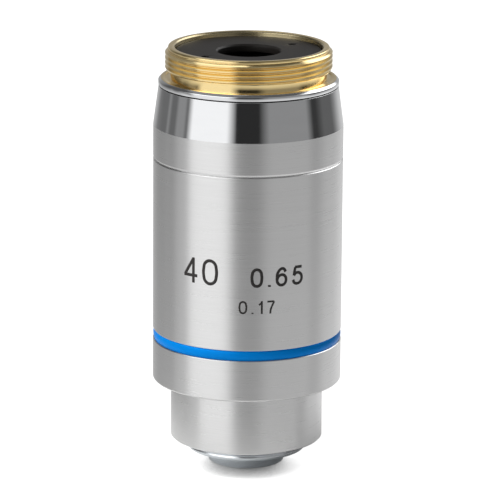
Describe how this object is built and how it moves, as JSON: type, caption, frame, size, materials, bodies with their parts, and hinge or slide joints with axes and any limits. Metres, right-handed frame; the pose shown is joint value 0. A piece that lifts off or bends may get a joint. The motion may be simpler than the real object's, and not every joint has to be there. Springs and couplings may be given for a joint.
{
  "type": "microscope objective",
  "caption": "Spring-loaded dry microscope objective: fine-thread brass mount, polished cone, satin sleeve with blue colour ring, and a sliding nose that carries the lens cells.",
  "frame": {"origin": "centre of the shoulder plane that seats on the nosepiece, on the optical axis", "axes": "+Z along the optical axis, out of the thread; the nose and front lens point to -Z"},
  "size_m": [0.0286, 0.0286, 0.0641],
  "materials": {
    "turned_brass": "turned",
    "blackened_brass": "blackened",
    "black_anodised": "matt anodised",
    "polished_chrome": "polished cone, satin band",
    "satin_chrome": "satin turned",
    "blue_enamel": "gloss",
    "screw_steel": "oiled",
    "spring_steel": "drawn wire",
    "crown_glass": "polished, coated",
    "flint_glass": "polished, coated"
  },
  "bodies": {
    "barrel": {"thread_mount": "turned_brass", "rear_stop_ring": "black_anodised", "upper_sleeve": "polished_chrome", "main_sleeve": "satin_chrome", "colour_band": "blue_enamel", "guide_tube": "turned_brass", "parfocal_ring": "turned_brass", "guide_screw": "screw_steel", "return_spring": "spring_steel"},
    "nose": {"nose_barrel": "satin_chrome", "front_cap": "satin_chrome", "front_lens": "crown_glass", "meniscus_cell": "blackened_brass", "meniscus_lens": "crown_glass", "doublet_a_cell": "blackened_brass", "doublet_a_crown": "crown_glass", "doublet_a_flint": "flint_glass", "doublet_a_keeper": "blackened_brass", "spacer_a": "blackened_brass", "doublet_b_cell": "blackened_brass", "doublet_b_crown": "crown_glass", "doublet_b_flint": "flint_glass", "doublet_b_keeper": "blackened_brass", "centring_screws": "screw_steel", "spacer_b": "blackened_brass", "rear_cell": "blackened_brass", "rear_crown": "crown_glass", "rear_flint": "flint_glass", "rear_keeper": "blackened_brass", "stack_lock_ring": "blackened_brass"}
  },
  "joints": [
    {"name": "nose_slide", "type": "slide", "parent": "barrel", "child": "nose", "axis": [0, 0, 1], "range_m": [0, 0.0025], "stiffness_N_per_m": 340, "springref_m": -0.0088, "deforming": ["return_spring"]}
  ]
}
